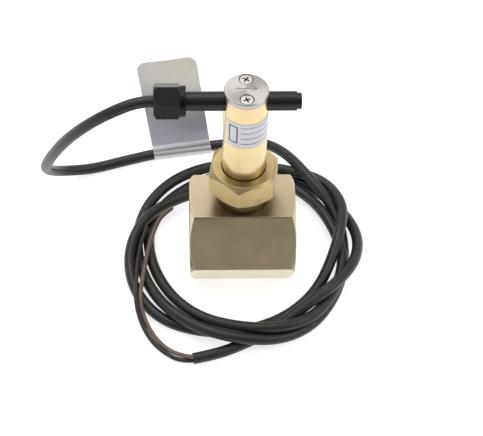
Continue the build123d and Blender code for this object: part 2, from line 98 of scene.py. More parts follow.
# Control points of the coil's turns, 20 degrees apart and clockwise from above
COIL_START = 46
COIL_STEP = 20
COIL_RADII = (
    47.4, 47.8, 46.1, 45.7, 46.9, 49.5, 51.4, 50.6, 48.2, 46.5, 44.5, 44.7, 46.8, 49.4, 50.7, 50.0, 47.9, 50.0,
    54.5, 51.4, 44.0, 40.1, 39.5, 39.8, 40.5, 43.0, 46.2, 50.2, 51.3, 49.3, 46.3, 42.3, 38.1, 37.4, 41.4, 44.8,
    44.2, 42.1, 43.4, 45.6, 46.9, 49.3, 48.5, 44.5, 42.2, 40.1, 38.8, 39.3, 41.7, 44.1, 45.0, 46.7, 49.3, 51.1,
    51.3, 52.3, 52.5, 50.4, 46.7, 43.6, 44.9,
)
COIL_HEIGHTS = (
    12.2, 6.4, 2.8, 2.4, 2.4, 2.4, 5.3, 8.5, 7.5, 7.1, 5.0, 3.4, 2.6, 4.0, 5.1, 6.6, 8.2, 7.1,
    7.6, 10.3, 13.6, 9.4, 5.9, 4.3, 2.5, 2.8, 2.4, 2.6, 4.8, 6.7, 8.1, 7.3, 6.6, 6.3, 6.0, 5.9,
    4.8, 7.7, 6.5, 7.8, 7.1, 7.7, 9.7, 8.5, 6.7, 5.6, 4.7, 4.0, 3.1, 2.5, 2.5, 2.4, 2.4, 2.4,
    2.4, 3.2, 6.5, 10.7, 12.8, 9.9, 3.9,
)
BROWN_ROUTE = (
    (-20.8, -56.2, 3.55),
    (-26.4, -54.9, 2.4),
    (-34.6, -48.6, 1.2),
    (-41.2, -38.2, 2.9),
    (-43.9, -28.4, 7.7),
    (-42.4, -17.3, 8.3),
    (-41.1, -6.2, 7.4),
    (-39.1, 4.8, 7.0),
    (-36.8, 11.1, 8.6),
    (-34.4, 15.4, 10.6),
    (-29.7, 19.4, 11.0),
)
BLACK_ROUTE = (
    (-20.8, -56.2, 1.25),
    (-26.5, -56.9, 1.3),
    (-34.5, -51.3, 1.15),
    (-40.2, -44.2, 1.9),
    (-44.0, -35.9, 4.6),
    (-45.4, -28.3, 8.2),
    (-45.2, -19.2, 8.5),
    (-45.0, -10.2, 7.6),
    (-44.2, -2.0, 6.9),
    (-42.7, 6.0, 7.1),
    (-41.0, 10.5, 8.2),
)


def lay_cord(name, route, radius):
    """Round cord along a smooth line whose control points are the route's.

    The radius is each point's own, over a bevel of one metre, because a curve's box grows by it.
    """
    data = bpy.data.curves.new(name, "CURVE")
    data.dimensions = "3D"
    data.bevel_depth = 1.0
    data.bevel_resolution = 7
    data.use_fill_caps = True
    line = data.splines.new("NURBS")
    line.points.add(len(route) - 1)
    for point, place in zip(line.points, route):
        point.co = (*(Vector(place) * MM), 1)
        point.radius = radius * MM
    line.order_u = 3
    line.use_endpoint_u = True
    line.resolution_u = 10
    piece = link(name, data)
    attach(piece, "contact")
    return piece


def solid(name, points, faces, body, slot, smooth=False):
    """Mesh piece from points in millimetres."""
    data = bpy.data.meshes.new(name)
    data.from_pydata([Vector(point) * MM for point in points], [], faces)
    work = bmesh.new()
    work.from_mesh(data)
    bmesh.ops.recalc_face_normals(work, faces=work.faces)
    work.to_mesh(data)
    work.free()
    for face in data.polygons:
        face.use_smooth = smooth
    piece = link(name, data)
    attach(piece, body)
    return piece


def loft(sections, closed_ends=True):
    """Points and faces of a skin over sections of equal numbers of points."""
    count = len(sections[0])
    points = [point for section in sections for point in section]
    faces = []
    for row in range(len(sections) - 1):
        for index in range(count):
            after = (index + 1) % count
            low, high = row * count, (row + 1) * count
            faces.append((low + index, low + after, high + after, high + index))
    if closed_ends:
        faces.append(tuple(range(count)))
        faces.append(tuple(range(len(points) - count, len(points))))
    return points, faces


def merged(shapes):
    """Points and faces of several shapes as one."""
    points, faces = [], []
    for more_points, more_faces in shapes:
        shift = len(points)
        points += more_points
        faces += [tuple(index + shift for index in face) for face in more_faces]
    return points, faces


coil_route = []
for index, (radius, height) in enumerate(zip(COIL_RADII, COIL_HEIGHTS)):
    direction = radians(COIL_START - index * COIL_STEP)
    coil_route.append((radius * cos(direction), radius * sin(direction), height))
cable = lay_cord("cable_jacket", [*LEAD_ROUTE, *coil_route, *TAIL_ROUTE], CABLE_RADIUS)
brown_wire = lay_cord("brown_conductor", BROWN_ROUTE, WIRE_RADIUS)
black_wire = lay_cord("black_conductor", BLACK_ROUTE, WIRE_RADIUS)
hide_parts("cable_lead", "cable_coil", "cable_tail")
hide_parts("wire_brown")
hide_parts("wire_black")

CORE_RADIUS = 0.45
CORE_SIDES = 20
CORE_STRANDS = 6
CORE_RIPPLE = 0.08
# Distance past the cut end, and share of the radius
CORE_STATIONS = ((-0.6, 1.0), (0.35, 1.0), (0.45, 0.75))


def bare_core(name, route):
    """Copper strands that show at a conductor's cut end."""
    end = Vector(route[-1])
    along = (end - Vector(route[-2])).normalized()
    side = along.cross(Vector((0, 0, 1))).normalized()
    top = side.cross(along)
    sections = []
    for station, scale in CORE_STATIONS:
        ring = []
        for index in range(CORE_SIDES):
            turn = 2 * pi * index / CORE_SIDES
            reach = CORE_RADIUS * scale * (1 + CORE_RIPPLE * cos(CORE_STRANDS * turn))
            ring.append(end + along * station + (side * cos(turn) + top * sin(turn)) * reach)
        sections.append(ring)
    return solid(name, *loft(sections), "contact", "copper_lead", smooth=True)


brown_core = bare_core("brown_core", BROWN_ROUTE)
black_core = bare_core("black_core", BLACK_ROUTE)

# Tag: a strip of film folded round the cable, with its two halves stuck together above the fold
TAG_START = Vector((-37.9, 59.65, 2.4))
TAG_HEADING = radians(9.5)
TAG_WIDTH = 26.5
TAG_HEIGHT = 58.6
TAG_LEAN = 0.123
TAG_FILM = 0.2
TAG_BAND = 2.56
TAG_OPENING = 0.42
TAG_CORNER = 4.6
TAG_CORNER_STEPS = 9
TAG_BOW_START = 6
TAG_BOW = 1.0
TAG_CURL = 0.6
TAG_CURL_TURN = 5.2
TAG_CURL_PHASE = 0.6
TAG_SPLIT_ANGLE = 50
TAG_COLUMNS = 26
TAG_FLAG_HEIGHTS = (2.3, 2.9, 3.6, 4.5, 5.6, 7.0, 8.6, 10.4)
TAG_ROWS = 34
BAND_STEPS = 28


def tag_point(across, height, offset):
    """Point of the tag: across from 0 to 1, height over the cable's centre, offset from the middle plane."""
    over = max(height - (TAG_HEIGHT - TAG_CORNER), 0)
    inset = (TAG_CORNER - sqrt(max(TAG_CORNER**2 - over**2, 0))) / TAG_WIDTH
    place = inset + across * (1 - 2 * inset)
    lift = max(height - TAG_BOW_START, 0) / (TAG_HEIGHT - TAG_BOW_START)
    curl = TAG_CURL * lift * lift * cos(TAG_CURL_TURN * place + TAG_CURL_PHASE)
    bow = -TAG_BOW * lift * sin(pi * place) - curl
    heading = Vector((cos(TAG_HEADING), sin(TAG_HEADING), 0))
    facing = Vector((sin(TAG_HEADING), -cos(TAG_HEADING), 0))
    along = place * TAG_WIDTH - height * TAG_LEAN
    return TAG_START + heading * along + facing * (offset + bow) + Vector((0, 0, height))


# The films part below this height, by a share of its square
FILM_PARTS_BELOW = 5.6
FILM_SPREAD = 0.75 / 10.9


def film_half(height):
    """Half thickness of the two films, which part towards the cable."""
    return TAG_FILM + FILM_SPREAD * max(FILM_PARTS_BELOW - height, 0) ** 2


row_step = (TAG_HEIGHT - TAG_CORNER - TAG_FLAG_HEIGHTS[-1]) / TAG_ROWS
flag_heights = list(TAG_FLAG_HEIGHTS)
flag_heights += [TAG_FLAG_HEIGHTS[-1] + row_step * row for row in range(1, TAG_ROWS + 1)]
for index in range(1, TAG_CORNER_STEPS + 1):
    flag_heights.append(TAG_HEIGHT - TAG_CORNER * (1 - sin(pi / 2 * index / TAG_CORNER_STEPS)))
columns = [column / TAG_COLUMNS for column in range(TAG_COLUMNS + 1)]
flag_sections = []
for height in flag_heights:
    front = [tag_point(across, height, film_half(height)) for across in columns]
    back = [tag_point(across, height, -film_half(height)) for across in reversed(columns)]
    flag_sections.append([*front, *back])
band_arc = 2 * pi - 2 * TAG_OPENING
band_turns = [pi / 2 + TAG_OPENING + band_arc * index / BAND_STEPS for index in range(BAND_STEPS + 1)]
band_outer = [((TAG_BAND + TAG_FILM) * cos(turn), (TAG_BAND + TAG_FILM) * sin(turn)) for turn in band_turns]
band_inner = [(TAG_BAND * cos(turn), TAG_BAND * sin(turn)) for turn in reversed(band_turns)]
band_outline = [*band_outer, *band_inner]
band_sections = [[tag_point(across, height, offset) for offset, height in band_outline] for across in columns]
tag_shape = merged([loft(flag_sections), loft(band_sections)])
tag = solid("film_tag", *tag_shape, "contact", "tag_foil", smooth=True)
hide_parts("cable_tag")
tag_split = tag.modifiers.new("split", "EDGE_SPLIT")
tag_split.split_angle = radians(TAG_SPLIT_ANGLE)

# Label: foil wrapped round the tube, with plain rules where print would be
TUBE_RADIUS = 9.0
LABEL_BOTTOM = 79.6
LABEL_TOP = 93.2
LABEL_FILM = 0.09
LABEL_CLEARANCE = 0.015
LABEL_START = radians(-55)
LABEL_END = radians(158)
LABEL_STEPS = 72


def tube_patch(start, end, bottom, top, inner, outer, steps):
    """Points and faces of a thin patch that follows the tube, turned from its front towards the right."""
    sections = []
    for index in range(steps + 1):
        turn = start + (end - start) * index / steps
        section = []
        for radius, height in ((inner, bottom), (outer, bottom), (outer, top), (inner, top)):
            section.append((radius * sin(turn), -radius * cos(turn), height))
        sections.append(section)
    return loft(sections)


label_inner = TUBE_RADIUS + LABEL_CLEARANCE
label_outer = label_inner + LABEL_FILM
label_shape = tube_patch(LABEL_START, LABEL_END, LABEL_BOTTOM, LABEL_TOP, label_inner, label_outer, LABEL_STEPS)
label = solid("tube_label", *label_shape, "t_body", "tag_foil")
RULE_FILM = 0.012
RULE_STEP = 3
# Start and end in degrees round the tube, bottom and top
RULES = (
    (-48, -44.5, 82.0, 91.4),
    (-25.5, -22, 82.0, 91.4),
    (-44.5, -25.5, 90.8, 91.4),
    (-44.5, -25.5, 82.0, 82.6),
    (-14, 96, 91.0, 91.3),
    (-14, 96, 88.0, 88.3),
    (-14, 96, 85.0, 85.3),
    (-14, 96, 82.0, 82.3),
)
rule_inner = label_outer - RULE_FILM
rule_outer = label_outer + RULE_FILM
rule_shapes = []
for start, end, bottom, top in RULES:
    steps = max(2, round((end - start) / RULE_STEP))
    rule_shapes.append(tube_patch(radians(start), radians(end), bottom, top, rule_inner, rule_outer, steps))
label_rules = solid("label_rules", *merged(rule_shapes), "t_body", "rod_plastic")

# Flow arrow and a short mark on the cap
CAP_TOP = 104.3
ARROW_SINK = 0.02
ARROW_RISE = 0.015
STROKE_NOSE = 0.6
# First and last point, half width
ARROW_STROKES = (
    ((-4.4, 0.46), (4.1, 0.41), 0.16),
    ((1.75, 2.0), (4.15, 0.47), 0.15),
    ((1.65, -0.8), (4.15, 0.35), 0.15),
    ((-1.15, -2.98), (0.8, -2.98), 0.2),
)
stroke_shapes = []
for start, end, half in ARROW_STROKES:
    first, last = Vector((*start, 0)), Vector((*end, 0))
    along = (last - first).normalized()
    side = along.cross(Vector((0, 0, 1))) * half
    nose = along * half * STROKE_NOSE
    section = [first - nose, first + side, last + side, last + nose, last - side, first - side]
    low = [point + Vector((0, 0, CAP_TOP - ARROW_SINK)) for point in section]
    high = [point + Vector((0, 0, CAP_TOP + ARROW_RISE)) for point in section]
    stroke_shapes.append(loft([low, high]))
flow_arrow = solid("flow_arrow", *merged(stroke_shapes), "t_body", "cap_steel")

# Female pipe threads in both ports
BAR_AXIS = 20.5
PORT_MOUTH = 21.5
THREAD_PITCH = 1.814
THREAD_ROOT = 13.28
THREAD_CREST = 12.25
THREAD_TURNS = 5.6
THREAD_STEPS = 64
THREAD_FADE_TURN = 1 / 3
THREAD_LOWEST = 0.04
THREAD_FOOT = 0.78
THREAD_TIP = 0.2


def port_thread(name, side):
    """Ridge of a female thread in one port, low at both of its ends."""
    sections = []
    total = round(THREAD_TURNS * THREAD_STEPS)
    for index in range(total + 1):
        turn = 2 * pi * index / THREAD_STEPS
        fade = min(index, total - index) / (THREAD_STEPS * THREAD_FADE_TURN)
        crest = THREAD_ROOT - (THREAD_ROOT - THREAD_CREST) * min(max(fade, THREAD_LOWEST), 1)
        centre = PORT_MOUTH - THREAD_PITCH * (0.5 + index / THREAD_STEPS)
        profile = (
            (-THREAD_FOOT, THREAD_ROOT),
            (-THREAD_TIP, crest),
            (THREAD_TIP, crest),
            (THREAD_FOOT, THREAD_ROOT),
        )
        section = []
        for offset, radius in profile:
            section.append((side * (centre + offset), radius * sin(turn), BAR_AXIS + side * radius * cos(turn)))
        sections.append(section)
    return solid(name, *loft(sections), "t_body", "block_brass")


threads = [port_thread("inlet_thread", -1), port_thread("outlet_thread", 1)]

# Union nut with the deep corner chamfers of a turned hexagon
NUT_FLATS = 27.0
NUT_TURN = 10.0
NUT_BOTTOM = 48.4
NUT_TOP = 60.2
NUT_SHOULDER = 58.0
NUT_BORE = 11.0
NUT_TUBE_HOLE = 9.3
NUT_LEAD_IN = 0.6
NUT_LOW_RADIUS = 12.8
NUT_LOW_SLOPE = 0.8
NUT_HIGH_RADIUS = 12.75
NUT_HIGH_SLOPE = 0.74
NUT_STEPS = 120
NUT_CORNER_FLAT = 0.12
EDGE_ROUND = 0.12
nut_sections = []
for index in range(NUT_STEPS):
    turn = 360 * index / NUT_STEPS
    off_flat = (turn + 30) % 60 - 30
    reach = min(NUT_FLATS / 2 / cos(radians(off_flat)), NUT_FLATS / sqrt(3) - NUT_CORNER_FLAT)
    low = NUT_BOTTOM + (reach - NUT_LOW_RADIUS) * NUT_LOW_SLOPE
    high = NUT_TOP - (reach - NUT_HIGH_RADIUS) * NUT_HIGH_SLOPE
    outline = (
        (NUT_BORE + NUT_LEAD_IN, NUT_BOTTOM),
        (NUT_LOW_RADIUS - EDGE_ROUND, NUT_BOTTOM),
        (NUT_LOW_RADIUS + EDGE_ROUND, NUT_BOTTOM + EDGE_ROUND * NUT_LOW_SLOPE),
        (reach - EDGE_ROUND, low - EDGE_ROUND * NUT_LOW_SLOPE),
        (reach, low + EDGE_ROUND),
        (reach, high - EDGE_ROUND),
        (reach - EDGE_ROUND, high + EDGE_ROUND * NUT_HIGH_SLOPE),
        (NUT_HIGH_RADIUS + EDGE_ROUND, NUT_TOP - EDGE_ROUND * NUT_HIGH_SLOPE),
        (NUT_HIGH_RADIUS - EDGE_ROUND, NUT_TOP),
        (NUT_TUBE_HOLE + EDGE_ROUND, NUT_TOP),
        (NUT_TUBE_HOLE, NUT_TOP - EDGE_ROUND),
        (NUT_TUBE_HOLE, NUT_SHOULDER),
        (NUT_BORE, NUT_SHOULDER),
        (NUT_BORE, NUT_BOTTOM + NUT_LEAD_IN),
    )
    direction = radians(turn - 60 - NUT_TURN)
    nut_sections.append([(radius * cos(direction), radius * sin(direction), height) for radius, height in outline])
nut_points, nut_faces = loft([*nut_sections, nut_sections[0]], closed_ends=False)
ring = len(nut_sections) * len(nut_sections[0])
nut_faces = [tuple(index % ring for index in face) for face in nut_faces]
union_nut = solid("hexagon_nut", nut_points[:ring], nut_faces, "nut", "nut_brass")
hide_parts("union_nut")

# Softened edges on the bar, which has sharp ones in the CAD model
BAR_EDGE = 0.45
BAR_WELD = 0.004
BAR_FLAT_ANGLE = 0.6
BAR_SHARP_ANGLE = 22
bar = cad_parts["t_piece"]
weld = bar.modifiers.new("weld", "WELD")
weld.merge_threshold = BAR_WELD * MM
flatten = bar.modifiers.new("flatten", "DECIMATE")
flatten.decimate_type = "DISSOLVE"
flatten.angle_limit = radians(BAR_FLAT_ANGLE)
bevel = bar.modifiers.new("bevel", "BEVEL")
bevel.width = BAR_EDGE * MM
bevel.segments = 3
bevel.limit_method = "ANGLE"
bevel.angle_limit = radians(BAR_SHARP_ANGLE)
bevel.use_clamp_overlap = True
shading = bar.modifiers.new("shading", "WEIGHTED_NORMAL")
shading.keep_sharp = False
shading.weight = 60

# Floor, lamps and world
FLOOR_REACH = 3.0
floor_corners = [(x * FLOOR_REACH, y * FLOOR_REACH, 0) for x, y in ((-1, -1), (1, -1), (1, 1), (-1, 1))]
floor_data = bpy.data.meshes.new("floor")
floor_data.from_pydata(floor_corners, [], [(0, 1, 2, 3)])
floor = link("floor", floor_data)


LAMP_TARGET = Vector((0, 0, 0.03))


def lamp(name, place, size, power):
    data = bpy.data.lights.new(name, "AREA")
    data.size = size
    data.energy = power
    piece = link(name, data)
    place = Vector(place)
    piece.location = place
    piece.rotation_euler = (place - LAMP_TARGET).to_track_quat("Z", "Y").to_euler()


lamp("top_lamp", (-0.25, 0.35, 1.1), 0.9, 6)
lamp("side_lamp", (0.9, -0.25, 0.8), 0.6, 2.5)


BUMP_ROUND = 0.25


class Paint:
    """Node material with a principled shader, and the patterns that several materials share."""

    def __init__(self, name, metallic, roughness, **constants):
        self.material = bpy.data.materials.new(name)
        self.material.use_nodes = True
        self.tree = self.material.node_tree
        self.tree.nodes.clear()
        output = self.add("OutputMaterial")
        self.shader = self.add("BsdfPrincipled")
        self.join(self.shader.outputs[0], output.inputs["Surface"])
        self.shader.inputs["Metallic"].default_value = metallic
        self.shader.inputs["Roughness"].default_value = roughness
        for socket, value in constants.items():
            self.shader.inputs[socket.replace("_", " ")].default_value = value
        scaled = self.add("VectorMath", operation="SCALE")
        self.join(self.add("TexCoord").outputs["Object"], scaled.inputs[0])
        scaled.inputs["Scale"].default_value = 1 / MM
        self.place = scaled.outputs[0]

    def add(self, kind, **settings):
        node = self.tree.nodes.new("ShaderNode" + kind)
        for key, value in settings.items():
            setattr(node, key, value)
        return node

    def join(self, source, target):
        if hasattr(source, "links"):
            self.tree.links.new(source, target)
        else:
            target.default_value = source

    def math(self, operation, first, second=0.0, clamp=False):
        node = self.add("Math", operation=operation, use_clamp=clamp)
        self.join(first, node.inputs[0])
        self.join(second, node.inputs[1])
        return node.outputs[0]

    def mix(self, factor, first, second):
        node = self.add("Mix", data_type="FLOAT")
        self.join(factor, node.inputs[0])
        self.join(first, node.inputs[2])
        self.join(second, node.inputs[3])
        return node.outputs[0]

    def coordinate(self, axis):
        """Place along an axis, in millimetres."""
        split = self.add("SeparateXYZ")
        self.join(self.place, split.inputs[0])
        return split.outputs[axis]

    def slant(self, axis):
        """Share of an axis in the surface's direction, from -1 to 1."""
        split = self.add("SeparateXYZ")
        self.join(self.add("NewGeometry").outputs["Normal"], split.inputs[0])
        return split.outputs[axis]

    def stretched(self, factors):
        node = self.add("VectorMath", operation="MULTIPLY")
        self.join(self.place, node.inputs[0])
        node.inputs[1].default_value = factors
        return node.outputs[0]

    def noise(self, vector, scale, detail=3.0, roughness=0.55):
        """Noise that runs from about 0 to 1."""
        node = self.add("TexNoise")
        self.join(vector, node.inputs["Vector"])
        node.inputs["Scale"].default_value = scale
        node.inputs["Detail"].default_value = detail
        node.inputs["Roughness"].default_value = roughness
        return self.span(node.outputs["Fac"], 0.3, 0.7, 0.0, 1.0)

    def span(self, value, low, high, start, end):
        node = self.add("MapRange")
        self.join(value, node.inputs["Value"])
        node.inputs["From Min"].default_value = low
        node.inputs["From Max"].default_value = high
        node.inputs["To Min"].default_value = start
        node.inputs["To Max"].default_value = end
        return node.outputs[0]

    def blend(self, factor, first, second):
        node = self.add("Mix", data_type="RGBA")
        self.join(factor, node.inputs[0])
        self.join((*first, 1) if isinstance(first, tuple) else first, node.inputs[6])
        self.join((*second, 1) if isinstance(second, tuple) else second, node.inputs[7])
        return node.outputs[2]

    def edges(self, radius):
        """1 along edges and corners, 0 elsewhere."""
        rounded = self.add("Bevel", samples=4)
        rounded.inputs["Radius"].default_value = radius * MM
        straight = self.add("NewGeometry")
        node = self.add("VectorMath", operation="DOT_PRODUCT")
        self.join(rounded.outputs[0], node.inputs[0])
        self.join(straight.outputs["Normal"], node.inputs[1])
        return self.span(node.outputs["Value"], 0.995, 0.93, 0.0, 1.0)

    def hollows(self, reach):
        """1 where other surfaces stand close by, 0 in the open."""
        node = self.add("AmbientOcclusion", samples=8)
        node.inputs["Distance"].default_value = reach * MM
        return self.span(node.outputs["AO"], 0.25, 0.95, 1.0, 0.0)

    def ring_distance(self, axis, centre):
        """Distance from a line along an axis, in millimetres."""
        node = self.add("VectorMath", operation="SUBTRACT")
        self.join(self.place, node.inputs[0])
        node.inputs[1].default_value = centre
        flat = self.add("VectorMath", operation="MULTIPLY")
        self.join(node.outputs[0], flat.inputs[0])
        flat.inputs[1].default_value = tuple(0.0 if index == axis else 1.0 for index in range(3))
        length = self.add("VectorMath", operation="LENGTH")
        self.join(flat.outputs[0], length.inputs[0])
        return length.outputs["Value"]

    def grooves(self, distance, scale):
        """Fine turned lines, as a noise of one distance."""
        packed = self.add("CombineXYZ")
        self.join(distance, packed.inputs[0])
        return self.noise(packed.outputs[0], scale, 4.0, 0.7)

    def facing(self, axis):
        """1 where the surface looks along an axis, either way."""
        return self.span(self.math("ABSOLUTE", self.slant(axis)), 0.9, 0.97, 0.0, 1.0)

    def colour(self, value):
        self.join((*value, 1) if isinstance(value, tuple) else value, self.shader.inputs["Base Color"])

    def rough(self, value):
        self.join(value, self.shader.inputs["Roughness"])

    def bump(self, height, depth, distance=0.02):
        """Relief over softened edges."""
        node = self.add("Bump")
        rounded = self.add("Bevel", samples=4)
        rounded.inputs["Radius"].default_value = BUMP_ROUND * MM
        self.join(rounded.outputs[0], node.inputs["Normal"])
        node.inputs["Strength"].default_value = depth
        node.inputs["Distance"].default_value = distance * MM
        self.join(height, node.inputs["Height"])
        self.join(node.outputs[0], self.shader.inputs["Normal"])


# Painted shade on the bar's top, its neck and the nut's top, and a painted reflection on the bar's
# lower facets, in place on the object
BAR_TOP = (40.0, 40.8)
NECK_EDGE = (10.6, 11.4)
WEAR_FROM = (12.2, 13.4)
NECK_SHADE = (0.17, 0.135, 0.075)
TOP_SHADE = (0.37, 0.31, 0.205)
# Painted reflection of the floor on the bar's lower facets
STRIP_PAINTED_REFLECTION = (0.81, 0.745, 0.57)
NUT_TOP_SHADE = (0.36, 0.27, 0.14)


def bar_tones(paint, base):
    """Painted shade on the top and the neck, and a painted reflection on the lower facets."""
    # Painted shade on the top, darker towards the front
    level = paint.span(paint.coordinate(2), *BAR_TOP, 0.0, 1.0)
    front = paint.span(paint.coordinate(1), 10.0, -10.0, 0.6, 0.95)
    base = paint.blend(paint.math("MULTIPLY", level, front), base, TOP_SHADE)
    # Painted shadow on the neck under the nut
    neck = paint.span(paint.ring_distance(2, (0, 0, 0)), *NECK_EDGE, 1.0, 0.0)
    base = paint.blend(paint.math("MULTIPLY", neck, level), base, NECK_SHADE)
    # Painted reflection of the floor on the facets that face downwards
    return paint.blend(paint.span(paint.slant(2), -0.3, -0.45, 0.0, 0.95), base, STRIP_PAINTED_REFLECTION)


def nut_tones(paint, base):
    """Painted shade on the chamfer and the top, darker towards the front."""
    front = paint.span(paint.coordinate(1), 4.0, -12.0, 0.0, 1.0)
    front = paint.math("MULTIPLY", front, paint.span(paint.slant(2), 0.2, 0.5, 0.0, 1.0))
    return paint.blend(front, base, NUT_TOP_SHADE)


def brass(name, colours, roughness, grain, stain_and_shade, lathe=None, depth=0.35, contrast=0.16, tones=None, wear_from=None):
    """Machined brass: grained sides, bright edges, turned lines on the faces across the lathe's axis, and painted
    shade.

    colours are the plain one, the stain and the bare edge, and lathe is an axis and a point on it.
    tones changes the plain colour in places. wear_from is two distances from the Z axis: edges
    show no wear within the first and all of it beyond the second.
    """
    colour, shade, bright = colours
    paint = Paint(name, 1.0, roughness)
    cloud = paint.noise(paint.place, 0.11, 3.0)
    speck = paint.noise(paint.place, 1.7, 4.0, 0.7)
    lines = paint.noise(paint.stretched(grain), 1.0, 4.0, 0.65)
    if lathe:
        rings = paint.grooves(paint.ring_distance(*lathe), 2.4)
        lines = paint.mix(paint.facing(lathe[0]), lines, rings)
    patches = paint.span(cloud, 0.35, 1.0, 0.0, 0.65 * stain_and_shade)
    stain = paint.math("MULTIPLY", patches, paint.span(speck, 0.0, 1.0, 0.45, 1.0))
    base = paint.blend(stain, colour, shade)
    base = paint.blend(paint.math("MULTIPLY", lines, contrast), base, shade)
    # Painted shade: darker where other surfaces stand close, high up on the part
    upper = paint.span(paint.coordinate(2), 28.0, 38.0, 0.0, stain_and_shade)
    painted_hollow_shade = tuple(value * 0.42 for value in shade)
    base = paint.blend(paint.math("MULTIPLY", paint.hollows(11.0), upper), base, painted_hollow_shade)
    if tones:
        base = tones(paint, base)
    wear = paint.math("MULTIPLY", paint.edges(0.5), paint.span(speck, 0.1, 0.8, 0.35, 0.9))
    if wear_from:
        outside = paint.span(paint.ring_distance(2, (0, 0, 0)), *wear_from, 0.0, 1.0)
        wear = paint.math("MULTIPLY", wear, outside)
    paint.colour(paint.blend(wear, base, bright))
    rough = paint.math("ADD", paint.math("MULTIPLY", lines, 0.09), roughness - 0.06)
    paint.rough(paint.math("ADD", rough, paint.math("MULTIPLY", cloud, 0.07)))
    height = paint.math("ADD", lines, paint.math("MULTIPLY", speck, 0.35))
    paint.bump(height, depth)
    return paint.material


def metal(name, colour, shade, roughness, grain):
    """Bare metal with a fine grain, and painted shade in its recesses."""
    paint = Paint(name, 1.0, roughness)
    lines = paint.noise(paint.stretched(grain), 1.0, 4.0, 0.65)
    cloud = paint.noise(paint.place, 0.35, 3.0)
    base = paint.blend(paint.math("MULTIPLY", lines, 0.3), colour, shade)
    # Painted shade: near black in recesses, such as a screw's cross
    painted_recess_shade = tuple(value * 0.06 for value in shade)
    base = paint.blend(paint.math("MULTIPLY", paint.hollows(1.5), 0.97), base, painted_recess_shade)
    worn = paint.math("MULTIPLY", paint.edges(0.25), 0.35)
    paint.colour(paint.blend(worn, base, tuple(min(1.0, value * 1.25) for value in colour)))
    paint.rough(paint.math("ADD", paint.math("MULTIPLY", cloud, 0.12), roughness - 0.05))
    paint.bump(lines, 0.3)
    return paint.material


def plastic(name, colour, pale, roughness, grain_scale=3.0, depth=0.25, stretch=(1, 1, 1), specular=0.3):
    """Moulded plastic or rubber: fine grain, faint dust and scuffed edges."""
    paint = Paint(name, 0.0, roughness, Specular_IOR_Level=specular)
    grain = paint.noise(paint.stretched(stretch), grain_scale, 4.0, 0.6)
    dust = paint.noise(paint.place, 0.25, 4.0, 0.65)
    base = paint.blend(paint.math("MULTIPLY", dust, 0.22), colour, pale)
    base = paint.blend(paint.math("MULTIPLY", grain, 0.12), base, pale)
    scuff = paint.math("MULTIPLY", paint.edges(0.3), paint.math("MULTIPLY", dust, 0.7))
    paint.colour(paint.blend(scuff, base, pale))
    paint.rough(paint.math("ADD", paint.math("MULTIPLY", grain, 0.12), roughness - 0.04))
    paint.bump(grain, depth)
    return paint.material


SCREW_OFFSET = 5.65
SCREW_RIM = 2.78


def spun_steel():
    """Faced steel cap, whose turned lines draw the light out into lobes, with painted shade round its screw heads.
    """
    paint = Paint("cap_steel", 1.0, 0.3, Anisotropic=0.75)
    rings = paint.grooves(paint.ring_distance(2, (0, 0, 0)), 3.0)
    cloud = paint.noise(paint.place, 0.5, 3.0)
    base = paint.blend(paint.math("MULTIPLY", rings, 0.35), (0.48, 0.455, 0.44), (0.29, 0.272, 0.262))
    paint.rough(paint.math("ADD", paint.math("MULTIPLY", cloud, 0.1), 0.26))
    # Painted shade: a dark ring in the gap round each screw head
    first = paint.ring_distance(2, (0, SCREW_OFFSET, 0))
    second = paint.ring_distance(2, (0, -SCREW_OFFSET, 0))
    rim = paint.math("ABSOLUTE", paint.math("SUBTRACT", paint.math("MINIMUM", first, second), SCREW_RIM))
    base = paint.blend(paint.span(rim, 0.1, 0.3, 0.92, 0.0), base, (0.05, 0.045, 0.04))
    paint.colour(paint.blend(paint.math("MULTIPLY", paint.edges(0.2), 0.5), base, (0.9, 0.88, 0.86)))
    tangent = paint.add("Tangent", direction_type="RADIAL", axis="Z")
    paint.join(tangent.outputs[0], paint.shader.inputs["Tangent"])
    paint.bump(rings, 0.3)
    return paint.material


# Painted shade on the tag's fold
FOLD_SHADE = (0.66, 0.67, 0.71)


def foil(name, colour, shade, roughness, metallic, low=None):
    """Thin film with shallow ripples from its fold and its glue.

    Where low is given, a painted reflection makes the film darker and bluer towards its fold, which lies at the
    bottom, and painted shade greys the fold itself.
    """
    paint = Paint(name, metallic, roughness)
    ripple = paint.noise(paint.stretched((1, 1, 0.5)), 0.16, 2.0)
    fine = paint.noise(paint.place, 2.2, 3.0)
    base = paint.blend(paint.math("MULTIPLY", ripple, 0.35), colour, shade)
    if low:
        # Painted reflection, darker and bluer lower down above the fold, and painted shade on the fold
        height = paint.coordinate(2)
        over_fold = paint.span(height, 6.5, 8.5, 0.0, 1.0)
        painted_low_reflection = paint.math("MULTIPLY", paint.span(height, 50.0, 15.0, 0.0, 1.0), over_fold)
        base = paint.blend(painted_low_reflection, base, low)
        # Painted shade on the fold band
        base = paint.blend(paint.span(height, 8.0, 6.5, 0.0, 1.0), base, FOLD_SHADE)
    paint.colour(paint.blend(paint.math("MULTIPLY", fine, 0.1), base, shade))
    paint.rough(paint.math("ADD", paint.math("MULTIPLY", fine, 0.1), roughness - 0.05))
    paint.bump(paint.math("ADD", ripple, paint.math("MULTIPLY", fine, 0.05)), 0.5, 0.25)
    return paint.material


def glass():
    """Tube of the reed capsule."""
    paint = Paint("reed_glass", 0.0, 0.05, Transmission_Weight=1.0, IOR=1.5)
    paint.colour(paint.blend(paint.noise(paint.place, 0.6), (0.82, 0.92, 0.88), (0.7, 0.84, 0.78)))
    paint.rough(paint.span(paint.noise(paint.place, 2.0), 0, 1, 0.03, 0.09))
    return paint.material


